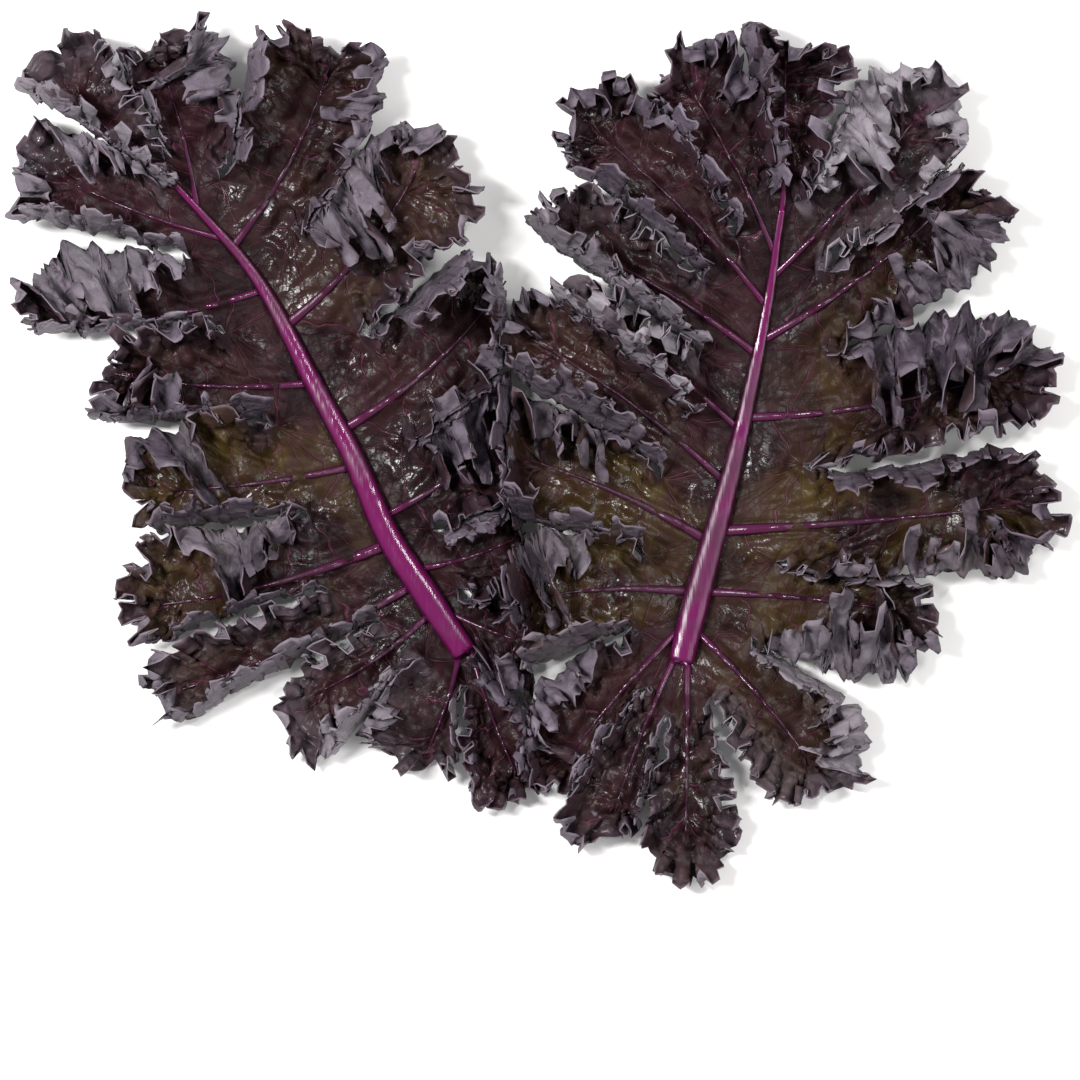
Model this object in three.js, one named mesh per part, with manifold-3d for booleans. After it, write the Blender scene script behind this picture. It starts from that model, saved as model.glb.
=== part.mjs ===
// Two leaves of purple curly kale, picked and laid side by side as a small bunch.
// Millimetres, +Z up. The origin is on the table, under the middle of the bunch.
// A leaf is two bodies. Its ribs are the magenta midrib and the veins that fork from it. Its
// blade is one frilled sheet that stands round the midrib and runs under the veins.
import * as THREE from "three";
import { mergeVertices } from "three/addons/utils/BufferGeometryUtils.js";
import Module from "manifold-3d";

const wasm = await Module();
wasm.setup();

// Driving dimensions
const BLADE_THICKNESS = 0.9;
const FRILL_WAVELENGTH = 21; // length of flat margin that one frill takes up
const STEPS_PER_WAVE = 4;
const ROW_SHARES = [0, 0.3, 0.66, 1]; // of the frilled band, from its inside out to the margin
const FRILL_BAND = 24; // width of the band that is frilled
const SLOPE_STEPS = 24; // finer steps in which the curve of a row is worked out
const FRILL_SPARE = 1.4; // length of a row over its straight length: the curl takes it up
const FRILL_SWING = 0.15; // how much longer and shorter than that the rows of one frill are
const FRILL_FOLD = -1; // how far a frill leans along the margin
const FRILL_SHIFT = 1.7; // how far the frills of one lobe are out of step with the next one's, rad
const SLOPE_POWER = 1.3; // how late in the band the slope of a row sets in
const SHOULDERS = [[0.68, 1], [0.9, 0.86]]; // share of a lobe's length, and how full it is there
const VEIN_END = 0.8; // share of a lobe's length at which its vein has fanned out
const TIP_FAN = 0.3; // share of a lobe's margin that fans out from the end of its vein
const SINUS_SHARE = 0.3; // share of a lobe's length at which its frills begin
const SINUS_DEPTH = 0.36; // how far out two lobes part, over the length of the shorter one
const SINUS_RISE = 0.12; // slope from the midrib up to where two lobes part
const SINUS_GAP = 0.9; // from the line between two lobes to either lobe
const SINUS_EASE = 2.5; // how gently a lobe's frills turn aside as they near that line
const SINUS_LEAN = 0.35; // slope by which one lobe's frills lie over the next one's
const PRESSED_RISE = 1.1; // how far a blade that presses on its neighbour turns up, over how far it gives
const BASE_GAP = 5; // from the cut end of the midrib to where the lowest lobes meet
const RIB_SIDES = 10;
const RIB_STEPS = 12;
const RIB_DEPTH = 0.82; // depth of a rib over its width
const RIB_FLARE = 0.3; // how much wider a rib is above its middle than at it
const RIB_GAP = 0.95; // from the side of the midrib to the edge of the blade
const EDGE_DEPTH = 0.5; // how low on the midrib the blade's edge lies, over the half depth
const RIB_FORK = 0.95; // share of the midrib where the last vein springs from it
const VEIN_SIDES = 5;
const VEIN_STEPS = 5;
const VEIN_LENGTH = 0.6; // share of a lobe's length to which its vein stands out
const VEIN_DEPTH = 0.55; // depth of a vein over its width
const VEIN_TAPER = 0.62; // how much of its width a vein has lost where it ends
const VEIN_LIFT = 0.4; // from the blade to the underside of a vein
const TABLE_GAP = 1.2; // lowest that the middle of the blade's thickness comes
const TABLE_EASE = 3; // how gently a blade flattens as it nears the table
const GUTTER = new THREE.Vector3(-7.5, 0, 12); // a point of the gutter between the two leaves
const GUTTER_SLANT = 0.058; // how far the gutter turns from straight up the table
const GUTTER_LEAN = 0.3; // slope by which the left leaf's frills lie over the right one's
const GUTTER_GAP = 1.2; // from the gutter to either blade
const GUTTER_EASE = 3;
const HAIR = 0.004; // how far two folds that meet along a line are kept from touching

// A leaf's ribs: points along the middle of the midrib, from the cut stalk to the tip, and its
// half widths there. The lobes go round the leaf, up its left side and down its right. Each grows
// from a share of the midrib to its tip; its vein bends sideways and arches up on the way. full is
// how much of the room between its sinuses the lobe takes up, and joined the share of its length
// to which it stays joined to the next one, where that isn't SINUS_DEPTH. curl is how far its
// margin turns up, in degrees, and wave how far each frill swings it in and out of that. vein is
// half the thickness of the vein.
const LEFT_LEAF = {
  name: "left_leaf",
  side: -1,
  rib: [
    [-27, -73, 4.0], [-41, -52, 3.9], [-54, -32, 3.8], [-67, -3, 3.5], [-81, 23, 3.1],
    [-95.5, 51, 3.2], [-105.5, 66, 4.6], [-117.5, 79.5, 7.4], [-129, 92, 11],
  ],
  ribHalfWidths: [5.3, 5.1, 5.0, 4.7, 4.2, 3.0, 2.0, 1.6, 1.3],
  lobes: [
    { at: 0, tip: [-42, -111, 6], full: 1, bend: -3, arch: 9, curl: 34, wave: 49, vein: 1.5 },
    { at: 0.09, tip: [-86, -90, 6], full: 1.1, bend: -6, arch: 9, curl: 38, wave: 49, vein: 1.5 },
    { at: 0.15, tip: [-130, -87, 6], full: 1.1, bend: -6, arch: 8, curl: 44, wave: 50, vein: 1.9 },
    { at: 0.24, tip: [-145, -57, 7], full: 1.3, bend: -8, arch: 10, curl: 54, wave: 50, vein: 2.4 },
    { at: 0.36, tip: [-140, -16, 8], full: 1.3, bend: -4, arch: 8, curl: 82, wave: 52, vein: 1.8 },
    { at: 0.5, tip: [-153, 26, 8], full: 1.4, bend: -6, arch: 8, curl: 84, wave: 52, vein: 1.7 },
    { at: 0.66, tip: [-183, 42, 8], full: 1.15, bend: -8, arch: 8, curl: 80, wave: 52, vein: 1.6 },
    { at: 0.82, tip: [-177, 98, 10], full: 1, bend: -5, arch: 8, curl: 78, wave: 50, vein: 1.3 },
    { at: 1, tip: [-168, 128, 13], full: 1.3, bend: -4, arch: 9, curl: 98, wave: 50, vein: 1.2 },
    { at: 0.92, tip: [-136, 144, 11], full: 1.1, bend: 4, arch: 11, curl: 72, wave: 49, vein: 1.3 },
    { at: 0.79, tip: [-73, 139, 11], full: 1.1, bend: 9, arch: 9, curl: 78, wave: 50, vein: 1.8 },
    { at: 0.585, tip: [-41, 103, 11], full: 1.2, bend: 10, arch: 8, curl: 84, wave: 52, vein: 2.2 },
    { at: 0.415, tip: [-11, 60, 10], full: 1.3, bend: 10, arch: 8, curl: 86, wave: 52, vein: 2.2 },
    { at: 0.28, tip: [-4, 14, 9], full: 1.3, bend: 7, arch: 8, curl: 78, wave: 50, vein: 1.7 },
    { at: 0.17, tip: [-4, -30, 9], full: 1.3, bend: 4, arch: 7, curl: 76, wave: 48, vein: 1.5 },
    { at: 0.08, tip: [-3, -70, 8], full: 1.2, bend: 2, arch: 6, curl: 72, wave: 46, vein: 1.4 },
    { at: 0, tip: [-5, -123, 6], full: 1.1, bend: 3, arch: 9, curl: 42, wave: 49, vein: 1.3 },
  ],
};
const RIGHT_LEAF = {
  name: "right_leaf",
  side: 1,
  rib: [
    [49.5, -76, 4.0], [54.5, -56, 3.8], [59.5, -38, 3.6], [64.5, -20, 3.4], [69, -3, 3.1],
    [73, 15, 2.8], [77.5, 36, 3.0], [80.5, 52, 4.2], [85, 84, 9.5],
  ],
  ribHalfWidths: [5.3, 5.0, 4.8, 4.5, 4.1, 3.5, 2.7, 2.1, 1.4],
  lobes: [
    { at: 0, tip: [24, -136, 6], full: 1.1, bend: 3, arch: 9, curl: 48, wave: 49, vein: 1.5 },
    { at: 0.07, tip: [2, -121, 7], full: 0.95, bend: 4, arch: 9, curl: 56, wave: 50, vein: 1.5 },
    { at: 0.15, tip: [-13, -56, 8], full: 1.3, bend: 6, arch: 8, curl: 72, wave: 52, vein: 2.0 },
    { at: 0.28, tip: [-14, -2, 9], full: 1.3, bend: 5, arch: 8, curl: 76, wave: 52, vein: 2.2 },
    { at: 0.43, tip: [-9, 41, 10], full: 1.3, bend: 5, arch: 8, curl: 80, wave: 52, vein: 1.6 },
    { at: 0.565, tip: [14, 54, 14], full: 1.3, bend: 0, arch: 9, curl: 114, wave: 42, vein: 1.4 },
    { at: 0.73, tip: [-3, 77, 9], full: 1.3, bend: 6, arch: 8, curl: 80, wave: 52, vein: 1.7 },
    { at: 0.86, tip: [12, 116, 10], full: 1.05, bend: 6, arch: 8, curl: 76, wave: 50, vein: 1.4 },
    { at: 0.94, tip: [48, 133, 10], full: 1.05, bend: 3, arch: 8, curl: 76, wave: 50, vein: 1.3 },
    { at: 1, tip: [86, 143, 12], full: 1.15, bend: 0, arch: 9, curl: 92, wave: 50, vein: 1.3 },
    { at: 0.91, tip: [137, 122, 11], full: 1.15, bend: 4, arch: 8, curl: 72, wave: 49, vein: 1.4 },
    { at: 0.765, tip: [151, 94, 10], full: 1.05, bend: 8, arch: 8, curl: 70, wave: 50, vein: 1.8 },
    {
      at: 0.595, tip: [183, 30, 9], full: 0.9, joined: 0.22, bend: 10, arch: 8,
      curl: 70, wave: 52, vein: 1.9,
    },
    { at: 0.31, tip: [183, -20, 9], full: 1.15, bend: 2, arch: 9, curl: 54, wave: 52, vein: 2.4 },
    { at: 0.16, tip: [136, -60, 8], full: 1, bend: -3, arch: 8, curl: 52, wave: 50, vein: 1.8 },
    { at: 0.07, tip: [101, -120, 6], full: 0.85, bend: -4, arch: 9, curl: 40, wave: 50, vein: 1.6 },
    { at: 0, tip: [51, -145, 6], full: 0.75, bend: 0, arch: 10, curl: 36, wave: 49, vein: 1.6 },
  ],
};

const RIB_MATERIAL = new THREE.MeshStandardMaterial({ color: 0x8a2677, roughness: 0.35 });
const BLADE_MATERIAL = new THREE.MeshStandardMaterial({ color: 0x35262f, roughness: 0.45 });

const UP = new THREE.Vector3(0, 0, 1);
const vector = ([x, y, z]) => new THREE.Vector3(x, y, z);
const { lerp, degToRad, smoothstep } = THREE.MathUtils;

// A value that stays above 0, and turns into x smoothly as x grows past ease.
function easedPositive(x, ease) {
  return (x + Math.sqrt(x * x + ease * ease)) / 2;
}

function leftwardOf(direction) {
  return new THREE.Vector3().crossVectors(UP, direction).normalize();
}

// Geometry with each shared corner kept once and nothing but its positions.
function merged(geometry) {
  const bare = new THREE.BufferGeometry();
  bare.setAttribute("position", geometry.getAttribute("position"));
  if (geometry.index) bare.setIndex(geometry.index);
  return mergeVertices(bare, 1e-4);
}

function solid(geometry) {
  const whole = merged(geometry);
  return new wasm.Manifold(
    new wasm.Mesh({
      numProp: 3,
      vertProperties: whole.getAttribute("position").array,
      triVerts: new Uint32Array(whole.index.array),
    }),
  );
}

// Where two folds meet exactly along a line, each draws back from it by a hair, so that the
// surface is never pinched to nothing.
function geometryOf(body) {
  const mesh = body.getMesh();
  const geometry = new THREE.BufferGeometry();
  const position = new THREE.BufferAttribute(mesh.vertProperties, 3);
  geometry.setAttribute("position", position);
  geometry.setIndex(new THREE.BufferAttribute(mesh.triVerts, 1));
  geometry.computeVertexNormals();
  const normal = geometry.getAttribute("normal");
  const vectors = (attribute) => Array.from({ length: attribute.count }, (_, i) =>
    new THREE.Vector3().fromBufferAttribute(attribute, i));
  const points = vectors(position);
  const normals = vectors(geometry.getAttribute("normal"));
  const crowded = points.map((p) => points.some((q) => q !== p && q.distanceTo(p) < HAIR / 2));
  points.forEach((point, i) => {
    if (crowded[i]) position.setXYZ(i, ...point.addScaledVector(normals[i], -HAIR));
  });
  return geometry;
}

function named(name, geometry, material) {
  geometry.computeVertexNormals();
  const mesh = new THREE.Mesh(geometry, material);
  mesh.name = name;
  return mesh;
}

function ribHalfWidth(leaf, at) {
  const widths = leaf.ribHalfWidths;
  const step = at * (widths.length - 1);
  const low = Math.min(Math.floor(step), widths.length - 2);
  return lerp(widths[low], widths[low + 1], step - low);
}

// A point beside the midrib where the edge of the blade stands clear, tucked under its flared
// side. side is 1 on the midrib's left and -1 on its right.
function besideRib(leaf, at, side) {
  const leftward = leftwardOf(leaf.curve.getTangent(at));
  const halfWidth = ribHalfWidth(leaf, at);
  const away = halfWidth * (1 - RIB_FLARE * EDGE_DEPTH) * Math.sqrt(1 - EDGE_DEPTH ** 2) + RIB_GAP;
  return leaf.curve.getPoint(at)
    .addScaledVector(leftward, side * away)
    .addScaledVector(UP, -halfWidth * RIB_DEPTH * EDGE_DEPTH);
}

// A tapered rib: a cylinder bent along a curve, wider above than below, and flat where it rests
// on the table.
function ribSolid(curve, halfWidthAt, depth, sides, steps) {
  const geometry = new THREE.CylinderGeometry(1, 1, 1, sides, steps, false, Math.PI / sides);
  const position = geometry.getAttribute("position");
  for (let i = 0; i < position.count; i++) {
    const along = position.getY(i) + 0.5;
    const halfWidth = halfWidthAt(along);
    const height = position.getZ(i);
    const forward = curve.getTangent(along);
    const side = new THREE.Vector3().crossVectors(forward, UP).normalize();
    const upward = new THREE.Vector3().crossVectors(side, forward);
    const point = curve.getPoint(along)
      .addScaledVector(side, position.getX(i) * halfWidth * (1 + RIB_FLARE * height))
      .addScaledVector(upward, height * halfWidth * depth);
    position.setXYZ(i, point.x, point.y, Math.max(point.z, 0));
  }
  return solid(geometry);
}

// The midrib and the first stretch of each lobe's vein, fused into one branching body.
function ribs(leaf) {
  const halfWidthAt = (at) => ribHalfWidth(leaf, at);
  const midrib = ribSolid(leaf.curve, halfWidthAt, RIB_DEPTH, RIB_SIDES, RIB_STEPS);
  const veins = leaf.lobes.map((lobe) => {
    const veinHalfWidth = (along) => lobe.vein * (1 - VEIN_TAPER * along);
    const points = [0, 0.25, 0.5, 0.75, 1].map((along) => {
      const lift = BLADE_THICKNESS / 2 + VEIN_LIFT + veinHalfWidth(along) * VEIN_DEPTH;
      return lobe.curve.getPoint(along * VEIN_LENGTH).addScaledVector(UP, lift);
    });
    const start = leaf.curve.getPoint(Math.min(lobe.at, RIB_FORK));
    if (lobe.side !== 0) start.setZ(points[0].z);
    const path = new THREE.CatmullRomCurve3([start, ...points]);
    return ribSolid(path, veinHalfWidth, VEIN_DEPTH, VEIN_SIDES, VEIN_STEPS);
  });
  return wasm.Manifold.union([midrib, ...veins]);
}

// Where two neighbouring lobes part: a point at the midrib and the way out from it, along which
// they stay joined as far as reach.
function sinusBetween(leaf, lobe, next) {
  const base = lobe === leaf.lobes.at(-1);
  const at = base ? 0 : (lobe.at + next.at) / 2;
  const inner = besideRib(leaf, at, lobe.side || next.side);
  if (base) {
    const end = leaf.curve.getPoint(0).addScaledVector(leaf.curve.getTangent(0), -BASE_GAP);
    inner.setX(end.x).setY(end.y);
  }
  const outward = new THREE.Vector3();
  for (const one of [lobe, next]) {
    const way = vector(one.tip).sub(leaf.curve.getPoint(one.at)).setZ(0);
    outward.add(way.normalize());
  }
  const reach = (lobe.joined ?? SINUS_DEPTH) * Math.min(lobe.curve.getLength(), next.curve.getLength());
  return { at, inner, base, reach, outward: outward.normalize() };
}

// The margin of a lobe laid flat: from one sinus round the tip to the other.
function marginCurve(lobe) {
  const at = (share, side, reach) => {
    const point = lobe.curve.getPoint(share);
    const sinus = side > 0 ? lobe.before : lobe.after;
    const inward = leftwardOf(sinus.outward).multiplyScalar(-side);
    const room = point.clone().sub(sinus.inner).setZ(0).dot(inward);
    const leftward = leftwardOf(lobe.curve.getTangent(share));
    return point.addScaledVector(leftward, side * reach * room * lobe.full);
  };
  const left = SHOULDERS.map(([share, reach]) => at(share, 1, reach));
  const right = SHOULDERS.map(([share, reach]) => at(share, -1, reach)).reverse();
  return new THREE.CatmullRomCurve3([
    lobe.before.outer, ...left, at(1, 1, 0), ...right, lobe.after.outer,
  ]);
}

// The row that runs out from inner to the margin. It runs level as far as the frilled band, and
// its slope grows to bend at the margin; fold pushes it along the margin.
function row(inner, outer, bend, fold, spare) {
  const way = outer.clone().sub(inner);
  const length = way.length();
  const band = Math.min(length * 0.9, FRILL_BAND);
  way.normalize();
  const sideways = leftwardOf(way);
  const upward = new THREE.Vector3().crossVectors(way, sideways);
  const point = inner.clone().addScaledVector(way, length - band);
  const fine = [point.clone()];
  for (let i = 0; i < SLOPE_STEPS; i++) {
    const slope = degToRad(bend) * Math.pow((i + 0.5) / SLOPE_STEPS, SLOPE_POWER);
    point.addScaledVector(way, (Math.cos(slope) * band * spare) / SLOPE_STEPS);
    point.addScaledVector(upward, (Math.sin(slope) * band * spare) / SLOPE_STEPS);
    fine.push(point.clone());
  }
  const outward = ROW_SHARES.slice(1).map((share) =>
    fine[Math.round(share * SLOPE_STEPS)].clone().addScaledVector(sideways, fold * share * share),
  );
  return [inner, ...outward];
}

// Pushes a point sideways, off a plane it presses against, and lets what is pressed turn up.
// asideOf gives the distance off the plane; inward is the level way that leads off it.
function pushedOff(point, asideOf, inward, gap, ease) {
  const pressed = gap + easedPositive(asideOf(point) - gap, ease) - asideOf(point);
  point.z += pressed * PRESSED_RISE;
  const aside = asideOf(point);
  point.addScaledVector(inward, gap + easedPositive(aside - gap, ease) - aside);
}

// Keeps a point of a lobe above the table and on its own side of both sinuses and of the gutter.
// The planes that part the lobes lean, so that each lobe's frills lie over the next one's.
function bentClear(point, leaf, lobe) {
  point.z = TABLE_GAP + easedPositive(point.z - TABLE_GAP, TABLE_EASE);
  for (const [sinus, side] of [[lobe.before, 1], [lobe.after, -1]]) {
    const inward = leftwardOf(sinus.outward).multiplyScalar(-side);
    const asideOf = ({ x, y, z }) =>
      (x - sinus.inner.x) * inward.x + (y - sinus.inner.y) * inward.y
      - side * sinus.lean * (z - sinus.outer.z);
    pushedOff(point, asideOf, inward, SINUS_GAP, SINUS_EASE);
  }
  const outward = new THREE.Vector3(leaf.side, 0, 0);
  const asideOf = ({ x, y, z }) =>
    leaf.side * (x - GUTTER.x + GUTTER_SLANT * y + GUTTER_LEAN * (z - GUTTER.z));
  pushedOff(point, asideOf, outward, GUTTER_GAP, GUTTER_EASE);
  return point;
}

// The columns of a lobe's frilled part, one for each point of its margin. They start on the vein
// and fan out round its tip.
function lobeColumns(leaf, lobe) {
  const margin = marginCurve(lobe);
  const waves = Math.max(3, Math.round(margin.getLength() / FRILL_WAVELENGTH));
  const steps = 2 * Math.round((waves * STEPS_PER_WAVE) / 2);
  return margin.getSpacedPoints(steps).map((outer, k) => {
    const fromTip = Math.abs((2 * k) / steps - 1);
    const fromFan = Math.max(0, (fromTip - TIP_FAN) / (1 - TIP_FAN));
    const inner = lobe.curve.getPoint(lerp(VEIN_END, SINUS_SHARE, fromFan));
    const calm = 1 - smoothstep(fromTip, 0.8, 1);
    const phase = (2 * Math.PI * waves * k) / steps + lobe.index * FRILL_SHIFT;
    const bend = (lobe.curl + lobe.wave * Math.sin(phase)) * calm;
    const fold = FRILL_FOLD * Math.cos(phase) * calm;
    const spare = lerp(1, FRILL_SPARE + FRILL_SWING * Math.sin(phase), calm);
    const points = row(inner, outer, bend, fold, spare);
    if (fromTip === 1) return points;
    return points.map((point, i) => (i === 0 ? point : bentClear(point, leaf, lobe)));
  });
}

// The edge of the web between a lobe and the next: along the midrib from the sinus to the root of
// the lobe, then out along its vein.
function webEdge(leaf, lobe, sinus, half) {
  const points = [sinus.inner];
  if (!sinus.base) {
    const at = (sinus.at + lobe.at) / 2;
    points.push(besideRib(leaf, at, lobe.side || half));
  }
  if (lobe.side === 0) points.push(besideRib(leaf, 1, half));
  for (let i = 0; i <= 3; i++) points.push(lobe.curve.getPoint((SINUS_SHARE * i) / 3));
  return points;
}

// For each corner of a sheet, the direction that is square to the faces round it, or as near to
// square as it can be to all of them where the sheet is folded.
function facing(position, index) {
  const around = Array.from({ length: position.count }, () => []);
  for (let t = 0; t < index.length; t += 3) {
    const [a, b, c] = [0, 1, 2].map((i) =>
      new THREE.Vector3().fromBufferAttribute(position, index[t + i]),
    );
    const normal = b.sub(a).cross(c.sub(a)).normalize();
    for (const i of [0, 1, 2]) around[index[t + i]].push(normal);
  }
  return around.map((normals) => {
    const mean = new THREE.Vector3();
    for (const normal of normals) mean.add(normal);
    for (let round = 1; round <= 30; round++) {
      mean.normalize();
      const dots = normals.map((normal) => normal.dot(mean));
      mean.addScaledVector(normals[dots.indexOf(Math.min(...dots))], 0.5 / round);
    }
    return mean.normalize();
  });
}

// A sheet of triangles given thickness. Each becomes a prism that shares its sides with the next
// ones, and the prisms are fused, so that tight folds close up on themselves. What small voids a
// fold shuts in are filled.
function plate(corners, thickness) {
  const sheet = merged(new THREE.BufferGeometry().setFromPoints(corners));
  const position = sheet.getAttribute("position");
  const index = sheet.index.array;
  const normals = facing(position, index);
  const offset = (i, side) =>
    new THREE.Vector3().fromBufferAttribute(position, i)
      .addScaledVector(normals[i], (side * thickness) / 2);
  const prisms = [];
  for (let t = 0; t < index.length; t += 3) {
    const [a, b, c] = [index[t], index[t + 1], index[t + 2]];
    const faces = [0, 1, 2, 3, 5, 4];
    for (const [from, to] of [[0, 1], [1, 2], [2, 0]]) {
      if ([a, b, c][from] < [a, b, c][to]) faces.push(from, from + 3, to, to, from + 3, to + 3);
      else faces.push(from, from + 3, to + 3, from, to + 3, to);
    }
    const points = [1, -1].flatMap((side) => [a, b, c].map((i) => offset(i, side)));
    const prism = new THREE.BufferGeometry().setFromPoints(points);
    prism.setIndex(faces);
    prisms.push(solid(prism));
  }
  const shells = wasm.Manifold.union(prisms).decompose();
  return shells.sort((one, other) => other.volume() - one.volume())[0];
}

// The web on one side of a lobe: triangles from its edge to the sinus, and from the last of them
// to the column where the frills begin.
function webCorners(edge, column, half) {
  const inner = edge.at(-2);
  const triangles = [];
  for (let i = 0; i + 2 < edge.length; i++) triangles.push([edge[i], edge[i + 1], column.at(-1)]);
  for (let j = 0; j + 1 < column.length; j++) triangles.push([inner, column[j], column[j + 1]]);
  return triangles.flatMap(([p, q, r]) => (half > 0 ? [p, q, r] : [q, p, r]));
}

// A leaf's blade: for each lobe, a web on both sides that joins it to the next, and its frills.
function blade(leaf) {
  const corners = [];
  for (const lobe of leaf.lobes) {
    const columns = lobeColumns(leaf, lobe);
    corners.push(...webCorners(webEdge(leaf, lobe, lobe.before, 1), columns[0], 1));
    corners.push(...webCorners(webEdge(leaf, lobe, lobe.after, -1), columns.at(-1), -1));
    for (let k = 0; k + 1 < columns.length; k++) {
      for (let j = 0; j + 1 < ROW_SHARES.length; j++) {
        const [a, b] = [columns[k][j], columns[k][j + 1]];
        const [c, d] = [columns[k + 1][j], columns[k + 1][j + 1]];
        if (a.equals(c)) corners.push(a, d, b);
        else if ((k + j) % 2 === 0) corners.push(a, c, d, a, d, b);
        else corners.push(a, c, b, c, d, b);
      }
    }
  }
  return plate(corners, BLADE_THICKNESS);
}

function kaleLeaf(leaf) {
  leaf.curve = new THREE.CatmullRomCurve3(leaf.rib.map(vector));
  const tipIndex = leaf.lobes.findIndex((lobe) => lobe.at === 1);
  leaf.lobes.forEach((lobe, index) => {
    lobe.index = index;
    lobe.side = Math.sign(tipIndex - index);
    const root = besideRib(leaf, lobe.at, lobe.side);
    if (lobe.side === 0) {
      root.copy(leaf.curve.getPoint(1)).addScaledVector(leaf.curve.getTangent(1), 2.5);
    }
    const tip = vector(lobe.tip);
    const middle = root.clone().lerp(tip, 0.5);
    middle.addScaledVector(leftwardOf(tip.clone().sub(root)), -lobe.bend);
    middle.z += lobe.arch;
    lobe.curve = new THREE.QuadraticBezierCurve3(root, middle, tip);
  });
  leaf.lobes.forEach((lobe, index) => {
    const next = leaf.lobes[(index + 1) % leaf.lobes.length];
    const sinus = sinusBetween(leaf, lobe, next);
    sinus.outer = sinus.inner.clone().addScaledVector(sinus.outward, sinus.reach);
    sinus.outer.z += SINUS_RISE * sinus.reach;
    sinus.lean = SINUS_LEAN;
    lobe.after = sinus;
    next.before = sinus;
  });
  return [
    named(`${leaf.name}_ribs`, geometryOf(ribs(leaf)), RIB_MATERIAL.clone()),
    named(`${leaf.name}_blade`, geometryOf(blade(leaf)), BLADE_MATERIAL.clone()),
  ];
}

const bunch = new THREE.Group();
bunch.name = "purple_kale_bunch";
bunch.add(...kaleLeaf(LEFT_LEAF), ...kaleLeaf(RIGHT_LEAF));
const middle = new THREE.Box3().setFromObject(bunch).getCenter(new THREE.Vector3());
for (const mesh of bunch.children) mesh.geometry.translate(-middle.x, -middle.y, 0);

export default bunch;
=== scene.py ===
import math

import bmesh
import bpy
import numpy as np
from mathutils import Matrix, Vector


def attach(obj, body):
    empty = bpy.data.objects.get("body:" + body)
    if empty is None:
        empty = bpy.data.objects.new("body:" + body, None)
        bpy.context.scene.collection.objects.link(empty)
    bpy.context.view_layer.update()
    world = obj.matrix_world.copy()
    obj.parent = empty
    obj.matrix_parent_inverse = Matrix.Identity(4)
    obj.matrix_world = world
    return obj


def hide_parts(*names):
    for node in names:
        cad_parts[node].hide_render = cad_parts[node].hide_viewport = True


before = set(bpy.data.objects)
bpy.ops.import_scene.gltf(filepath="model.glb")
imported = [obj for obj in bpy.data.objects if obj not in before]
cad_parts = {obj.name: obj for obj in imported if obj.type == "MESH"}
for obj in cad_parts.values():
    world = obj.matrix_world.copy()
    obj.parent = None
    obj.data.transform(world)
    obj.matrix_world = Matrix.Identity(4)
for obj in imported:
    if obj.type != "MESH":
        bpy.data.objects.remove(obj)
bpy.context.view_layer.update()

millimetre = 0.001
bunchMiddle = np.array([1.509, 1.414, 0.0])  # where the points below have the bunch's middle
zUp = np.array([0.0, 0.0, 1.0])

# Lengths are in mm and angles in degrees from here on. Each leaf's midrib runs through the points of
# rib. Its lobes go up its left side, round its tip and down its right: where on the midrib, tip,
# fullness, bend, arch, curl and wave of the margin, half width of the vein, how olive the lobe is,
# between which shares of its length the margin folds right over, and how much painted light pales it.
# Where joined has a lobe's number, the lobe parts from the next one at another depth than the rest.
leftLeaf = {
    "name": "left_leaf",
    "side": -1,
    "joined": {},
    "rib": [[-27, -73, 4.0], [-41, -52, 3.9], [-54, -32, 3.8], [-67, -3, 3.5], [-81, 23, 3.1],
            [-95.5, 51, 3.2], [-105.5, 66, 4.6], [-117.5, 79.5, 7.4], [-129, 92, 11]],
    "ribHalfWidths": [4.3, 4.8, 4.4, 3.9, 3.3, 2.6, 2.0, 1.6, 1.2],
    "lobes": [
        (0, [-42, -111, 6], 1, -3, 9, 34, 49, 1.5, 0.1, (0.45, 0.92), 0.5),
        (0.09, [-86, -90, 6], 1.1, -6, 9, 38, 49, 1.5, 0.1, (0.05, 0.6), 0.6),
        (0.15, [-130, -87, 6], 1.1, -6, 8, 44, 50, 1.9, 0.25, (0.05, 0.6), 0.4),
        (0.24, [-145, -57, 7], 1.3, -8, 10, 54, 50, 2.4, 0.6, (0.74, 0.94), 0.2),
        (0.36, [-140, -16, 8], 1.3, -4, 8, 82, 52, 1.8, 0.8, (0.58, 0.78), 0.05),
        (0.5, [-153, 26, 8], 1.4, -6, 8, 84, 52, 1.7, 0.15, (0.08, 0.45), 0.1),
        (0.66, [-180, 42, 8], 1.15, -8, 8, 80, 52, 1.6, 0.05, (0.56, 0.9), 0.4),
        (0.82, [-175, 98, 10], 1.12, -5, 8, 78, 50, 1.3, 0, (0.5, 0.97), 0.4),
        (1, [-168, 128, 13], 1.3, -4, 9, 98, 50, 1.2, 0, (0.03, 0.62), 0.5),
        (0.92, [-136, 140, 11], 1.1, 4, 11, 72, 49, 1.3, 0, (0.55, 0.9), 0.3),
        (0.79, [-73, 139, 11], 1.1, 9, 9, 78, 50, 1.8, 0.2, (0.58, 0.95), 0.15),
        (0.585, [-41, 103, 11], 1.2, 10, 8, 84, 52, 2.2, 0.3, (0.05, 0.45), 0.25),
        (0.415, [-11, 60, 10], 1.3, 10, 8, 86, 52, 2.2, 0.1, (0.52, 0.97), 0.2),
        (0.28, [-4, 14, 9], 1.3, 7, 8, 78, 50, 1.7, 0.1, (0.05, 0.46), 0.1),
        (0.17, [-4, -30, 9], 1.3, 4, 7, 76, 48, 1.5, 0.15, (0.08, 0.48), 0),
        (0.08, [-3, -70, 8], 1.2, 2, 6, 72, 46, 1.4, 0.1, (0.52, 0.9), 0.05),
        (0, [-5, -123, 6], 1.1, 3, 9, 42, 49, 1.3, 0.05, (0.06, 0.45), 0.1),
    ],
}
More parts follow.
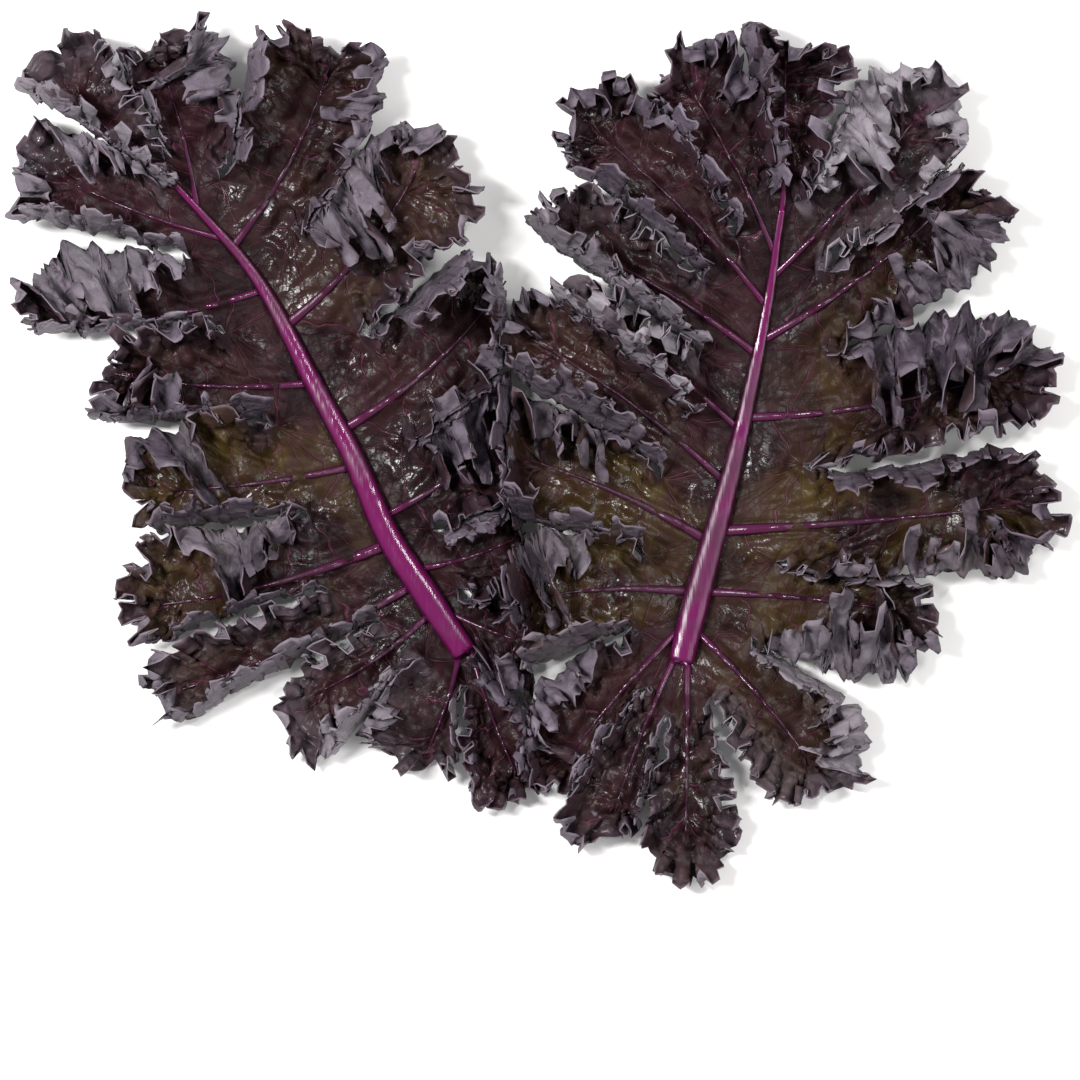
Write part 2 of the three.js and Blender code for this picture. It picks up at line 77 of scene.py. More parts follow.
rightLeaf = {
    "name": "right_leaf",
    "side": 1,
    "joined": {12: 0.22},
    "rib": [[49.5, -76, 4.0], [54.5, -56, 3.8], [59.5, -38, 3.6], [64.5, -20, 3.4], [69, -3, 3.1],
            [73, 15, 2.8], [77.5, 36, 3.0], [80.5, 52, 4.2], [85, 84, 9.5]],
    "ribHalfWidths": [4.3, 4.7, 4.2, 3.7, 3.2, 2.7, 2.2, 1.8, 1.3],
    "lobes": [
        (0, [24, -136, 6], 1.1, 3, 9, 48, 49, 1.5, 0.1, (0.5, 0.92), 0.3),
        (0.07, [2, -121, 7], 0.95, 4, 9, 56, 50, 1.5, 0.1, (0.55, 0.88), 0.2),
        (0.15, [-13, -56, 8], 1.3, 6, 8, 72, 52, 2.0, 0.8, (0.53, 0.92), 0.1),
        (0.28, [-14, -2, 9], 1.3, 5, 8, 76, 52, 2.2, 0.7, (0.55, 0.94), 0.1),
        (0.43, [-9, 41, 10], 1.3, 5, 8, 80, 52, 1.6, 0.2, (0.52, 0.98), 0.2),
        (0.565, [14, 54, 14], 1.3, 0, 9, 114, 42, 1.4, 0, (0.02, 0.5), 1),
        (0.73, [-3, 77, 9], 1.3, 6, 8, 80, 52, 1.7, 0.1, (0.08, 0.46), 0.5),
        (0.86, [12, 116, 10], 1.05, 6, 8, 76, 50, 1.4, 0.05, (0.55, 0.92), 0.1),
        (0.94, [48, 133, 10], 1.05, 3, 8, 76, 50, 1.3, 0, (0.55, 0.97), 0.05),
        (1, [86, 140, 12], 1.15, 0, 9, 92, 50, 1.3, 0, (0.03, 0.4), 0.15),
        (0.91, [137, 122, 11], 1.15, 4, 8, 72, 49, 1.4, 0.1, (0.03, 0.85), 1),
        (0.765, [151, 94, 10], 1.05, 8, 8, 70, 50, 1.8, 0.5, (0.52, 0.95), 0.2),
        (0.595, [176, 31, 9], 0.9, 10, 8, 70, 52, 1.9, 0.5, (0.08, 0.46), 0.1),
        (0.31, [178, -20, 9], 1.15, 2, 9, 54, 52, 2.4, 0.8, (0.54, 0.92), 0.05),
        (0.16, [136, -60, 8], 1, -3, 8, 52, 50, 1.8, 0.6, (0.5, 0.97), 0.3),
        (0.07, [101, -120, 6], 0.85, -4, 9, 40, 50, 1.6, 0.5, (0.03, 0.5), 0.6),
        (0, [51, -145, 6], 0.75, 0, 10, 36, 49, 1.6, 0.3, (0.5, 0.88), 0.3),
    ],
}

# Vectors of length 1 along the given ones.
def unit(v):
    return v / np.maximum(np.linalg.norm(v, axis=-1, keepdims=True), 1e-12)


# Nearly x where x is positive and nearly 0 where it isn't, with a soft bend of the size ease.
def easedPositive(x, ease):
    return (x + np.sqrt(x * x + ease * ease)) / 2


# Rises from 0 to 1 as x goes from low to high.
def smoothstep(x, low, high):
    t = np.clip((x - low) / (high - low), 0, 1)
    return t * t * (3 - 2 * t)


# The level direction to the left of each direction.
def leftwardOf(direction):
    flat = np.stack([-direction[..., 1], direction[..., 0], 0 * direction[..., 0]], axis=-1)
    return unit(flat)


# Points at the places t, 0 to 1, of the smooth curve through the given points.
def curveAt(points, t):
    points = np.asarray(points, float)
    t = np.atleast_1d(np.asarray(t, float))
    last = len(points) - 1
    padded = np.vstack([2 * points[0] - points[1], points, 2 * points[-1] - points[-2]])
    place = np.clip(t, 0, 1) * last
    low = np.minimum(place.astype(int), last - 1)
    w = (place - low)[:, None]
    p0, p1, p2, p3 = (padded[low + i] for i in range(4))
    d0, d1, d2 = (
        np.sqrt(np.maximum(np.linalg.norm(b - a, axis=1), 1e-9))[:, None]
        for a, b in ((p0, p1), (p1, p2), (p2, p3))
    )
    t1 = ((p1 - p0) / d0 - (p2 - p0) / (d0 + d1) + (p2 - p1) / d1) * d1
    t2 = ((p2 - p1) / d1 - (p3 - p1) / (d1 + d2) + (p3 - p2) / d2) * d1
    return (
        p1 + t1 * w + (-3 * p1 + 3 * p2 - 2 * t1 - t2) * w**2 + (2 * p1 - 2 * p2 + t1 + t2) * w**3
    )


def tangentAt(points, t):
    t = np.atleast_1d(np.asarray(t, float))
    before = curveAt(points, np.maximum(t - 1e-4, 0))
    after = curveAt(points, np.minimum(t + 1e-4, 1))
    return unit(after - before)


# A curve's points at the shares of its length, and that length.
def evenly(points, share):
    t = np.linspace(0, 1, 201)
    line = curveAt(points, t)
    run = np.concatenate([[0], np.cumsum(np.linalg.norm(np.diff(line, axis=0), axis=1))])
    return curveAt(points, np.interp(share, run / run[-1], t)), run[-1]


# A lobe's vein is a curve with three control points.
def bezierAt(controls, t):
    t = np.atleast_1d(np.asarray(t, float))[:, None]
    a, b, c = controls
    return (1 - t) ** 2 * a + 2 * t * (1 - t) * b + t**2 * c


def bezierTangent(controls, t):
    t = np.atleast_1d(np.asarray(t, float))[:, None]
    a, b, c = controls
    return unit((1 - t) * (b - a) + t * (c - b))


# The midrib and the veins. Depths and flares are shares of the half width.
ribShape = {
    "depth": 0.82,
    "flare": 0.3,  # how much wider it is above than below
    "gap": -0.7,  # from its side to the blade's edge, which is tucked in
    "edgeDepth": 0.5,  # how far down its side the blade's edge meets it
    "fork": 0.95,  # where the last veins leave it
    "tipGap": 2.5,  # from its end to the tip lobe's vein
    "around": 28,  # faces
    "along": 150,
    "rim": 0.5,  # of skin round its pith at the cut end
    "flankShade": (0.85, 0.6),  # how wide the painted shade down its flanks is at the cut end, and how much it gains
    "vein": {
        "depth": 0.7, "flare": 0.2, "around": 10, "along": 44, "end": 0.97, "width": 0.85, "tip": 0.3,
        "taper": 1.6, "lift": (0.2, 0.2), "tone": (0.45, 1.3),
    },
}


def ribHalfWidth(leaf, at):
    return np.interp(at, np.linspace(0, 1, len(leaf["ribHalfWidths"])), leaf["ribHalfWidths"])


# A point beside the midrib, tucked under its flared side.
def besideRib(leaf, at, side):
    at = np.atleast_1d(np.asarray(at, float))
    half = ribHalfWidth(leaf, at)[:, None]
    depth = ribShape["edgeDepth"]
    away = half * (1 - ribShape["flare"] * depth) * math.sqrt(1 - depth**2) + ribShape["gap"]
    return (
        curveAt(leaf["rib"], at)
        + leftwardOf(tangentAt(leaf["rib"], at)) * side * away
        - zUp * half * ribShape["depth"] * depth
    )


def bezierLength(controls):
    line = bezierAt(controls, np.linspace(0, 1, 65))
    return np.linalg.norm(np.diff(line, axis=0), axis=1).sum()


# The sinuses where lobes part, and what else the lobes press against: the table, and the gutter
# between the leaves, which runs through at in the middle with the slope slant.
sinusShape = {
    "share": 0.3,  # how far along a lobe's vein the web beside it ends
    "depth": 0.27,  # how far out the lobes part, as a share of the shorter lobe
    "rise": 0.12,  # how much higher its outer end is for each mm that it is further out
    "gap": 0.5,  # from the plane between two lobes to each of them
    "ease": 2.0,  # how softly they bend away from it
    "lean": 0.35,  # how much that plane leans
    "base": 1,  # from the midrib's cut end to where the lowest lobes part
    "table": {"gap": 0.8, "ease": 2.5, "lastEase": 0.6},
    "gutter": {"gap": 0.7, "ease": 2.5, "lean": 0.3, "at": -7.5, "slant": 0.058, "height": 12},
}


# Works out each lobe's vein, and the sinuses where neighbouring lobes part.
def layOut(leaf):
    names = ("at", "tip", "full", "bend", "arch", "curl", "wave", "vein", "olive", "over", "paintedLight")
    lobes = [dict(zip(names, values)) for values in leaf["lobes"]]
    tipIndex = [lobe["at"] for lobe in lobes].index(1)
    for index, lobe in enumerate(lobes):
        lobe["index"] = index
        lobe["side"] = int(np.sign(tipIndex - index))
        root = besideRib(leaf, lobe["at"], lobe["side"])[0]
        if lobe["side"] == 0:
            root = curveAt(leaf["rib"], 1)[0] + tangentAt(leaf["rib"], 1)[0] * ribShape["tipGap"]
        tip = np.array(lobe["tip"], float)
        middle = (root + tip) / 2 - leftwardOf(tip - root) * lobe["bend"] + zUp * lobe["arch"]
        lobe["curve"] = (root, middle, tip)
    for index, lobe in enumerate(lobes):
        following = lobes[(index + 1) % len(lobes)]
        base = index == len(lobes) - 1
        at = 0 if base else (lobe["at"] + following["at"]) / 2
        inner = besideRib(leaf, at, lobe["side"] or following["side"])[0]
        if base:
            end = curveAt(leaf["rib"], 0)[0] - tangentAt(leaf["rib"], 0)[0] * sinusShape["base"]
            inner[:2] = end[:2]
        ways = []
        for one in (lobe, following):
            way = np.array(one["tip"], float) - curveAt(leaf["rib"], one["at"])[0]
            way[2] = 0
            ways.append(unit(way))
        outward = unit(sum(ways))
        reach = leaf["joined"].get(index, sinusShape["depth"])
        reach *= min(bezierLength(one["curve"]) for one in (lobe, following))
        outer = inner + outward * reach + zUp * sinusShape["rise"] * reach
        sinus = {"at": at, "inner": inner, "outer": outer, "outward": outward, "base": base}
        lobe["after"] = following["before"] = sinus
    return lobes


# Where a lobe's margin passes on either side of its vein: how far along the vein, and how much of the
# room up to the sinus it takes.
shoulder = (0.68, 1)
nearTip = (0.9, 0.86)


# A lobe's margin runs through these points, from one sinus round the tip to the other.
def marginPoints(lobe):
    def at(share, reach, side):
        point = bezierAt(lobe["curve"], share)[0]
        sinus = lobe["before"] if side > 0 else lobe["after"]
        inward = -side * leftwardOf(sinus["outward"])
        room = ((point - sinus["inner"]) * [1, 1, 0]) @ inward
        leftward = leftwardOf(bezierTangent(lobe["curve"], share))[0]
        return point + leftward * side * reach * room * lobe["full"]

    return [
        lobe["before"]["outer"], at(*shoulder, 1), at(*nearTip, 1), lobe["curve"][2], at(*nearTip, -1),
        at(*shoulder, -1), lobe["after"]["outer"],
    ]


# Pushes points sideways, off a plane they press against, and lets what is pressed turn up.
def pushedOff(points, asideOf, inward, gap, ease, rise):
    aside = asideOf(points)
    points = points + zUp * ((gap + easedPositive(aside - gap, ease) - aside) * rise)[:, None]
    aside = asideOf(points)
    return points + inward * (gap + easedPositive(aside - gap, ease) - aside)[:, None]


# Keeps a lobe's points above the table and on their own side of both sinuses and of the gutter
# between the leaves.
def bentClear(points, leaf, lobe, rise):
    points = points.copy()
    table = sinusShape["table"]
    points[:, 2] = table["gap"] + easedPositive(points[:, 2] - table["gap"], table["ease"])
    for sinus, side in ((lobe["before"], 1), (lobe["after"], -1)):
        inward = -side * leftwardOf(sinus["outward"])

        def asideOf(p):
            lean = side * sinusShape["lean"] * (p[:, 2] - sinus["outer"][2])
            return (p - sinus["inner"])[:, :2] @ inward[:2] - lean

        points = pushedOff(points, asideOf, inward, sinusShape["gap"], sinusShape["ease"], rise)

    gutter = sinusShape["gutter"]

    def asideOfGutter(p):
        lean = gutter["lean"] * (p[:, 2] - gutter["height"])
        return leaf["side"] * (p[:, 0] - gutter["at"] + gutter["slant"] * p[:, 1] + lean)

    outward = np.array([leaf["side"], 0.0, 0.0])
    return pushedOff(points, asideOfGutter, outward, gutter["gap"], gutter["ease"], rise)


# The blade. Its margin curls over the whole band, in waves, and further in folds and ruffles.
bladeShape = {
    "thickness": 0.4,
    "wavelength": 21,  # of the margin's broadest waves
    "band": 26,  # how far in from the margin the blade curls
    "reach": 0.97,  # how much of the band still shows from above where it curls up
    "spare": 1.45,  # the most that a band is lengthened for that
    "fold": 2.0,  # how far the broadest waves lean sideways
    "wave": 0.42,  # share of each lobe's wave that is used
    "flap": 38,  # how much the curl wanders along the margin
    "over": {  # where the margin folds right over and shows its underside
        "slope": 170, "from": 17, "turn": 12, "spare": 0.85, "wave": 1.0, "reach": 0.1, "slopes": 0.5,
        "ends": (0.07, 0.03), "wander": (3, 1.2),
    },
    "ruffles": [  # finer waves, which reach only some way in from the margin
        {"length": 8.6, "slope": 26, "fold": 1.5, "reach": 16, "drift": 2.6},
        {"length": 4.1, "slope": 34, "fold": 0.6, "reach": 5.5, "drift": 2.2},
    ],
    "teeth": {"pitch": 4.3633, "length": 2.0, "uneven": 0.9, "power": 6},
    "pucker": (2.9, 3.0),  # how high crumpled tissue stands, inside and in the band
    "swell": (1.9, 0.9),  # how high the broad and the close swellings stand
    "calmFrom": 0.93,  # the margin lies still from here on to the sinus
    "top": 56.0,  # nothing stands higher than this
    "tall": 24.0,  # folds that stand taller than this have their tips rounded and lifted
    "smoothTall": 14,  # rounds of smoothing
    "lift": 0.25,
    "veinEnd": 0.8,  # how far along its vein a lobe's tip starts to fan out
    "tipFan": 0.3,  # how much of the margin, round the tip, fans out from there
    "rise": 1.1,  # how much of what is pressed sideways turns up
    "steps": 24,  # of adding up a curl
    "columnLength": 3.1,  # how much of the margin a column of the grid takes
    "webColumns": 6,  # on either side of a lobe, half down its vein and half along the midrib
    "rows": 22,
    "finerFrom": (0.4, 0.7),  # the grid's columns are halved from each of these shares on
}


# How high the blade swells between its veins at each point, in mm. It lies still by the midrib.
def swelling(leaf, points):
    x, y = points[:, 0], points[:, 1]
    line = curveAt(leaf["rib"], np.linspace(0, 1, 50))
    line = np.vstack([line, line[0] + (line[0] - line[1]) * 1.5])
    aside = np.min([np.hypot(x - p[0], y - p[1]) for p in line], axis=0)
    broad = np.sin(x * 0.37 + 1.3 * np.sin(y * 0.11)) * np.sin(y * 0.33 + 1.1 * np.sin(x * 0.13 + 2))
    close = np.sin(x * 0.81 + y * 0.3 + 1.5 * np.sin(y * 0.21)) * np.sin(y * 0.77 - x * 0.22 + 1)
    swell = bladeShape["swell"]
    return (swell[0] * broad + swell[1] * close) * smoothstep(aside, 6, 15)


# A smooth wandering value of about -1 to 1 along a margin.
def wander(x, seed):
    return (
        np.sin(x * 0.37 + seed * 2.3) + np.sin(x * 0.83 + seed * 4.1) + np.sin(x * 1.71 + seed * 1.3)
    ) / 2.2


# How far crumpled tissue stands off its smooth sheet, about -1 to 1, at the places x, y in mm.
def crumple(x, y, seed):
    broad = np.sin(0.52 * x + 1.7 * np.sin(0.23 * y + seed))
    broad = broad * np.sin(0.47 * y + 1.5 * np.sin(0.19 * x + 2 * seed))
    slanted = np.sin(0.93 * x - 0.51 * y + 2 * np.sin(0.31 * x + seed))
    close = np.sin(1.43 * y + 0.84 * x + 1.5 * np.sin(0.5 * y + 3 * seed))
    return (broad + 0.55 * slanted + 0.4 * close) / 1.5


# The frilled part of a lobe: s runs along its margin and out from its vein, both 0 to 1.
def frilled(leaf, lobe, s, out):
    shape = bladeShape
    outer, length = evenly(marginPoints(lobe), s)
    waves = max(3, round(length / shape["wavelength"]))
    fromTip = np.abs(2 * s - 1)
    fan = np.maximum(0, (fromTip - shape["tipFan"]) / (1 - shape["tipFan"]))
    inner = bezierAt(lobe["curve"], shape["veinEnd"] + (sinusShape["share"] - shape["veinEnd"]) * fan)
    calm = 1 - smoothstep(fromTip, shape["calmFrom"], 1)
    seed = lobe["index"] + (0.5 if leaf["side"] > 0 else 0)
    run = s * length
    phase = 2 * math.pi * waves * s + lobe["index"] * 1.7
    flap = shape["flap"] * wander(run * 0.13, seed + 9)
    wave = np.radians(shape["wave"] * lobe["wave"]) * np.sin(phase)
    bend = (np.radians(lobe["curl"] + flap) + wave) * calm
    start, end = lobe["over"]
    before, after = shape["over"]["ends"]
    over = smoothstep(s, start - before, start + after)
    over = over * (1 - smoothstep(s, end - after, end + before)) * calm
    folded = np.radians(shape["over"]["slope"]) + shape["over"]["wave"] * wave
    ruffles = []
    for i, ruffle in enumerate(shape["ruffles"]):
        turn = 2 * math.pi * run / ruffle["length"]
        turn = turn + ruffle["drift"] * wander(run * 2 / ruffle["length"], seed + i)
        ruffles.append((ruffle, turn))
    slow, quick = shape["over"]["wander"]
    foldFrom = shape["over"]["from"] + slow * wander(run * 0.3, seed + 11)
    foldFrom = foldFrom + quick * np.sin(ruffles[0][1])
    forward = np.mean([np.cos(bend * (i / 12) ** 1.3) for i in range(13)], axis=0)
    spare = 1 + (np.clip(shape["reach"] / forward, 1, shape["spare"]) - 1) * calm
    spare = spare + shape["over"]["spare"] * over
    way = outer - inner
    whole = np.linalg.norm(way, axis=1)
    way = unit(way)
    band = np.minimum(0.9 * whole, shape["band"])
    sideways = leftwardOf(way)
    upward = np.cross(way, sideways)
    level = whole - band
    teeth = shape["teeth"]
    tooth = np.abs(np.sin(math.pi * run / teeth["pitch"] + 1.5 * wander(run * 0.3, seed + 5)))
    tooth = (tooth * teeth["length"] + teeth["uneven"] * wander(run * 0.9, seed + 7)) * calm
    arc = out * (level + band * spare)
    u = np.clip((arc - level) / (band * spare), 0, 1)
    forth = np.minimum(arc, level)
    rise = np.zeros_like(arc)

    # How much of a ruffle there is at the share v of the way over the band.
    def shareOf(ruffle, v):
        reach = ruffle["reach"] * (1 + shape["over"]["reach"] * over)
        return (1 - smoothstep((1 - v) * band * spare, 0.3 * reach, reach)) * calm

    # How steep the blade is there, in radians.
    def slopeAt(v):
        slope = bend * v**1.3 * (1 - over)
        turned = smoothstep(v * band * spare, foldFrom, foldFrom + shape["over"]["turn"])
        slope = slope + folded * turned * over
        for ruffle, turn in ruffles:
            steep = np.radians(ruffle["slope"]) * (1 + shape["over"]["slopes"] * over)
            slope = slope + steep * np.sin(turn) * shareOf(ruffle, v)
        return slope

    steps = shape["steps"]
    for i in range(steps):
        v = u * (i + 0.5) / steps
        slope = slopeAt(v)
        forth = forth + np.cos(slope) * u * band * spare / steps
        rise = rise + np.sin(slope) * u * band * spare / steps
    slope = slopeAt(u)
    forth = forth + np.cos(slope) * tooth * u ** teeth["power"]
    rise = rise + np.sin(slope) * tooth * u ** teeth["power"]
    fold = shape["fold"] * np.sin(2 * phase) * calm * u**2
    for ruffle, turn in ruffles:
        fold = fold + ruffle["fold"] * np.sin(2 * turn) * shareOf(ruffle, u) * smoothstep(u, 0, 0.3)
    spacing = 0.5 * bezierLength(lobe["curve"]) / (0.35 * length)
    ratio = np.where(fromTip < shape["tipFan"], 0, min(spacing, 1))
    lateral = ratio + (1 - ratio) * out
    inside, outside = shape["pucker"]
    depth = inside + (outside - inside) * smoothstep(u, 0, 0.4)
    pucker = depth * crumple(run, arc, seed) * smoothstep(out, 0.02, 0.25) * calm
    forth = forth - np.sin(slope) * pucker
    rise = rise + np.cos(slope) * pucker
    points = inner + way * forth[:, None] + upward * rise[:, None] + sideways * fold[:, None]
    settled = bentClear(points, leaf, lobe, shape["rise"])
    keep = np.minimum(1, smoothstep(out, 0, 0.12) * smoothstep(1 - fromTip, 0, 0.03))[:, None]
    points = points + (settled - points) * keep
    return points, run, u, lateral


# The web beside a lobe's vein: w runs down the vein, then along the midrib to the sinus. Half of it is
# down the vein, so that the webs on both sides of a vein share their points there.
def webbed(leaf, lobe, sinus, half, w, out):
    edge = [sinus["inner"]]
    if not sinus["base"]:
        edge.append(besideRib(leaf, (sinus["at"] + lobe["at"]) / 2, lobe["side"] or half)[0])
    if lobe["side"] == 0:
        edge.append(besideRib(leaf, 1, half)[0])
    edge += list(bezierAt(lobe["curve"], np.array([0, 1, 2, 3]) / 3 * sinusShape["share"]))
    edge = np.array(edge)
    run = np.concatenate([[0], np.cumsum(np.linalg.norm(np.diff(edge, axis=0), axis=1))])
    place = np.concatenate([0.5 * run[:-3] / run[-4], [4 / 6, 5 / 6, 1]])
    inner = np.stack([np.interp(1 - w, place, edge[:, i]) for i in range(3)], axis=1)
    points = inner + (sinus["outer"] - inner) * out[:, None]
    return points, run[-1] * w


# One sheet for a whole leaf. Each lobe starts as a flat grid, whose columns and rows become
# places on the lobe.
def bladeSheet(leaf, lobes):
    shape = bladeShape
    bm = bmesh.new()
    layers = [bm.verts.layers.float.new(name) for name in ("run", "frill", "lateral", "olive", "paintedLight")]
    spans = []
    webs = shape["webColumns"]
    for lobe in lobes:
        length = evenly(marginPoints(lobe), np.array([1.0]))[1]
        columns = int(round(length / shape["columnLength"]))
        spans.append(columns)
        made = bmesh.ops.create_grid(
            bm, x_segments=columns + 2 * webs, y_segments=shape["rows"], size=0.5
        )
        for v in made["verts"]:
            v.co.x = (v.co.x + 0.5) * (columns + 2 * webs) - webs
            v.co.y = v.co.y + 0.5
            v.co.z = lobe["index"]
    for finerFrom in shape["finerFrom"]:
        across = [
            e for e in bm.edges
            if abs(e.verts[0].co.y - e.verts[1].co.y) < 1e-4 and e.verts[0].co.y > finerFrom
            and min(v.co.x for v in e.verts) > -1e-4
            and max(v.co.x for v in e.verts) < spans[round(e.verts[0].co.z)] + 1e-4
        ]
        bmesh.ops.subdivide_edges(bm, edges=across, cuts=1, use_grid_fill=True)
    bm.verts.ensure_lookup_table()
    grid = np.array([v.co[:] for v in bm.verts])
    points = np.zeros_like(grid)
    facts = np.zeros((len(grid), 5))
    for lobe in lobes:
        columns = spans[lobe["index"]]
        mine = np.round(grid[:, 2]) == lobe["index"]
        x, out = grid[:, 0], np.clip(grid[:, 1], 0, 1)
        middle = mine & (x >= -1e-4) & (x <= columns + 1e-4)
        p, run, u, lateral = frilled(leaf, lobe, np.clip(x[middle] / columns, 0, 1), out[middle])
        points[middle] = p
        # Each point carries its lobe's olive tint and its share of painted light.
        oliveAndPaintedLight = [0 * u + lobe["olive"], 0 * u + lobe["paintedLight"]]
        facts[middle] = np.stack([run, u, lateral, *oliveAndPaintedLight], axis=1)
        length = run.max()
        for sinus, half, side, w in (
            (lobe["before"], 1, mine & (x < -1e-4), -x / webs),
            (lobe["after"], -1, mine & (x > columns + 1e-4), (x - columns) / webs),
        ):
            p, run = webbed(leaf, lobe, sinus, half, w[side], out[side])
            points[side] = p
            run = -run if half > 0 else length + run
            oliveAndPaintedLight = [0 * run + lobe["olive"], 0 * run + lobe["paintedLight"]]
            facts[side] = np.stack([run, 0 * run, 1 - out[side], *oliveAndPaintedLight], axis=1)
    points[:, 2] += swelling(leaf, points)
    table = sinusShape["table"]
    points[:, 2] = table["gap"] + easedPositive(points[:, 2] - table["gap"], table["lastEase"])
    points[:, 2] = shape["top"] - easedPositive(shape["top"] - points[:, 2], 3)
    for v, point, values in zip(bm.verts, (points - bunchMiddle) * millimetre, facts):
        v.co = point
        for layer, value in zip(layers, values):
            v[layer] = value
    bmesh.ops.remove_doubles(bm, verts=bm.verts, dist=2e-5)
    bmesh.ops.dissolve_degenerate(bm, dist=1e-5, edges=bm.edges)
    tall = [v for v in bm.verts if v.co.z > shape["tall"] * millimetre]
    for _ in range(shape["smoothTall"]):
        bmesh.ops.smooth_vert(bm, verts=tall, factor=0.5, use_axis_z=True)
    for v in tall:
        v.co.z += shape["lift"] * max(0, v.co.z - shape["tall"] * millimetre)
    if sum(f.normal.z for f in bm.faces) < 0:
        bmesh.ops.reverse_faces(bm, faces=bm.faces)
    for f in bm.faces:
        f.smooth = True
    return bm


# The finished mesh as an object at the origin.
def toObject(bm, name, materials):
    mesh = bpy.data.meshes.new(name)
    bm.to_mesh(mesh)
    bm.free()
    for material in materials:
        mesh.materials.append(material)
    piece = bpy.data.objects.new(name, mesh)
    bpy.context.scene.collection.objects.link(piece)
    return piece


# A tapered rib along a line, wider above than below and flat where it rests on the table. Each place
# gets a share of painted shade, growing down its sides and along its length and full underneath, and
# a tone for how far out along a vein it is.
def ribTube(bm, line, tangents, halfWidths, depth, flare, around, tint):
    along = len(line)
    made = bmesh.ops.create_grid(bm, x_segments=around, y_segments=along - 1, size=0.5)
    side = unit(np.cross(tangents, zUp))
    upward = np.cross(side, tangents)
    flankShade = bm.verts.layers.float["flankShade"]
    tone = bm.verts.layers.float["tone"]
    for v in made["verts"]:
        i = int(round((v.co.y + 0.5) * (along - 1)))
        turn = (v.co.x - 0.25) * 2 * math.pi
        across, height = math.cos(turn), math.sin(turn)
        point = (
            line[i] + side[i] * across * halfWidths[i] * (1 + flare * height)
            + upward[i] * height * halfWidths[i] * depth
        )
        point[2] = max(point[2], 0.0)
        v.co = (point - bunchMiddle) * millimetre
        share = i / (along - 1)
        dark, gain = ribShape["flankShade"]
        # Painted shade: darker down the sides, and full on the underside.
        v[flankShade] = abs(across) * (dark + gain * share) if height > 0 else 1.0
        v[tone] = min(1.0, tint[0] + tint[1] * share)


# One mesh for a leaf's midrib and the vein of each lobe.
def ribBranches(leaf, lobes):
    bm = bmesh.new()
    for name in ("flankShade", "tone", "cut"):
        bm.verts.layers.float.new(name)
    at = np.linspace(0, 1, ribShape["along"])
    ribTube(
        bm, curveAt(leaf["rib"], at), tangentAt(leaf["rib"], at), ribHalfWidth(leaf, at),
        ribShape["depth"], ribShape["flare"], ribShape["around"], (0.0, 0.0),
    )
    vein = ribShape["vein"]
    for lobe in lobes:
        share = np.linspace(0, vein["end"], vein["along"])
        thick = vein["width"] * lobe["vein"] - vein["tip"]
        half = vein["tip"] + thick * (1 - share) ** vein["taper"]
        line = bezierAt(lobe["curve"], share)
        line[:, 2] += swelling(leaf, line) + vein["lift"][0] + half * vein["lift"][1]
        start = curveAt(leaf["rib"], min(lobe["at"], ribShape["fork"]))
        if lobe["side"] != 0:
            start[:, 2] = line[0, 2]
        line = np.vstack([start, line])
        half = np.concatenate([[half[0]], half])
        tangents = unit(np.gradient(line, axis=0))
        ribTube(bm, line, tangents, half, vein["depth"], vein["flare"], vein["around"], vein["tone"])
    bmesh.ops.remove_doubles(bm, verts=bm.verts, dist=1e-6)
    caps = bmesh.ops.holes_fill(bm, edges=[e for e in bm.edges if e.is_boundary], sides=0)["faces"]
    bmesh.ops.recalc_face_normals(bm, faces=bm.faces)
    for f in bm.faces:
        f.smooth = True
    # The largest cap is the midrib's cut end, which shows its pale pith inside a rim of skin.
    cutEnd = max(caps, key=lambda f: f.calc_area())
    rim = bmesh.ops.inset_region(bm, faces=[cutEnd], thickness=ribShape["rim"] * millimetre)["faces"]
    cut = bm.verts.layers.float["cut"]
    for v in cutEnd.verts:
        v[cut] = 1.0
    for f in [cutEnd, *rim]:
        f.smooth = False
    return bm


# An sRGB hex colour as a linear one.
def linear(hexColour):
    channels = [int(hexColour[i : i + 2], 16) / 255 for i in (1, 3, 5)]
    return tuple(c / 12.92 if c < 0.04045 else ((c + 0.055) / 1.055) ** 2.4 for c in channels) + (1,)


# Adds one node, sets or links its inputs, and returns the output asked for.
def node(tree, kind, inputs=None, output=0, **settings):
    made = tree.nodes.new("ShaderNode" + kind)
    for name, value in settings.items():
        setattr(made, name, value)
    for name, value in (inputs or {}).items():
        if isinstance(value, bpy.types.NodeSocket):
            tree.links.new(value, made.inputs[name])
        else:
            made.inputs[name].default_value = value
    return made.outputs[output] if made.outputs else made


def emptyMaterial(name):
    material = bpy.data.materials.new(name)
    material.use_nodes = True
    material.node_tree.nodes.clear()
    return material, material.node_tree


# Sizes of what a kale leaf's skin shows, in mm, with how rough each pattern's outlines are. Its real
# cells are far too fine to show, so skinNet is the puckered net of the smallest veins, and grain is
# the cells' own sparkle drawn as coarse as it needs to show.
skinSizes = {
    "patch": (31, 4), "mottle": (7.7, 3), "grain": (3.0, 2), "shine": (21, 2), "wander": (17, 2),
}
skinNet = 4.8

# Upper side: nearly black purple where the leaf is young and shaded, olive where green shows through.
# A thin natural wax makes it bloom to a dusty mauve on the frills, and gleam in patches inside. The
# paler grey on the frills of some lobes is painted light.
upperLook = {
    "dark": "#17090c", "light": "#2a1519", "olive": "#40340f", "fleck": "#321c22", "bloom": 0.5,
    "bloomColour": "#3d3039", "veinColour": "#5a2e44", "veins": 0.45, "veinSpacing": 19.0,
    # A paler line along the very margin is a painted highlight.
    "veinWidth": 0.5, "edge": 0.4, "edgeHighlightColour": "#6c5b67", "relief": -0.7, "bump": 0.75,
    "paintedLight": 0.6, "paintedLightColour": "#5a5257", "roughness": (0.45, 0.24), "specular": (0.1, 0.3),
}
